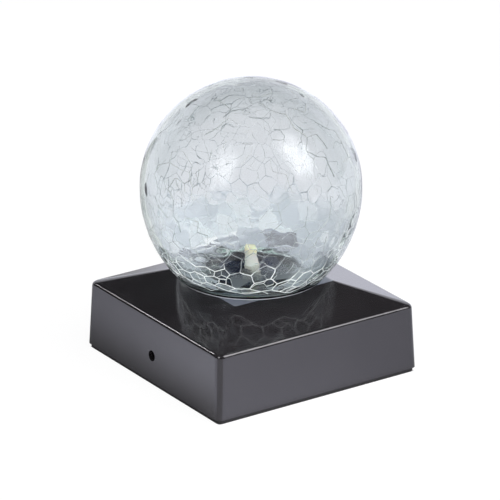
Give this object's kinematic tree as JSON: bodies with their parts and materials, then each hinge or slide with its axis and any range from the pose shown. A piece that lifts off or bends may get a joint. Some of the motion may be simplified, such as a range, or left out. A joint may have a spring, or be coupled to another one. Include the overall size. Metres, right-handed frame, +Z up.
{
  "type": "solar post light",
  "caption": "Square black post cap with a low pyramid roof, carrying a crackle-glass globe over a solar panel and LED, with cell, switch and board under the roof.",
  "frame": {"origin": "centre of the foot, on the plane that the cap's lip stands on", "axes": "+Z up through the globe, X along the two side screw holes, Y along the plain sides"},
  "size_m": [0.1086, 0.1086, 0.1334],
  "materials": {
    "shell_black": "moulded black, polished",
    "frame_black": "moulded black, satin",
    "crackle_glass": "clear blown glass with crackle",
    "collar_black": "moulded black",
    "sealant_clear": "translucent silicone",
    "gasket_grey": "soft silicone ring",
    "tray_black": "moulded black, fine grain",
    "screw_steel": "zinc-plated",
    "panel_dark": "dark board",
    "cell_blue": "dark blue cells with fine lines",
    "resin_clear": "clear resin",
    "spacer_white": "natural nylon",
    "led_cream": "diffused resin, warm white",
    "leg_tin": "tinned",
    "board_green": "solder mask",
    "chip_black": "moulded resin",
    "inductor_green": "lacquered",
    "switch_steel": "stamped case",
    "knob_black": "moulded",
    "cell_wrap": "shrink sleeve",
    "contact_nickel": "nickel-plated",
    "lead_insulation": "soft insulation, red and black"
  },
  "bodies": {
    "cap": {"cap_shell": "shell_black", "foot_frame": "frame_black", "lamp_tray": "tray_black", "tray_screws": "screw_steel", "panel_board": "panel_dark", "solar_cells": "cell_blue", "panel_resin": "resin_clear", "led_spacer": "spacer_white", "led_lamp": "led_cream", "led_legs": "leg_tin", "circuit_board": "board_green", "board_screws": "screw_steel", "driver_chip": "chip_black", "inductor": "inductor_green", "switch_case": "switch_steel", "battery_cell": "cell_wrap", "battery_leaf": "contact_nickel", "battery_plate": "contact_nickel", "base_cover": "tray_black", "cover_screws": "screw_steel", "panel_leads": "lead_insulation", "led_leads": "lead_insulation", "battery_leads": "lead_insulation"},
    "globe": {"glass_globe": "crackle_glass", "globe_collar": "collar_black", "neck_sealant": "sealant_clear", "globe_gasket": "gasket_grey"},
    "switch": {"switch_knob": "knob_black"},
    "door": {"battery_door": "tray_black"}
  },
  "joints": [
    {"name": "globe_twist", "type": "hinge", "parent": "cap", "child": "globe", "pos_m": [0, 0, 0.0412], "axis": [0, 0, 1], "range_deg": [0, 45]},
    {"name": "switch_slide", "type": "slide", "parent": "cap", "child": "switch", "axis": [1, 0, 0], "range_m": [0, 0.002]},
    {"name": "door_slide", "type": "slide", "parent": "cap", "child": "door", "axis": [1, 0, 0], "range_m": [0, 0.006]}
  ]
}
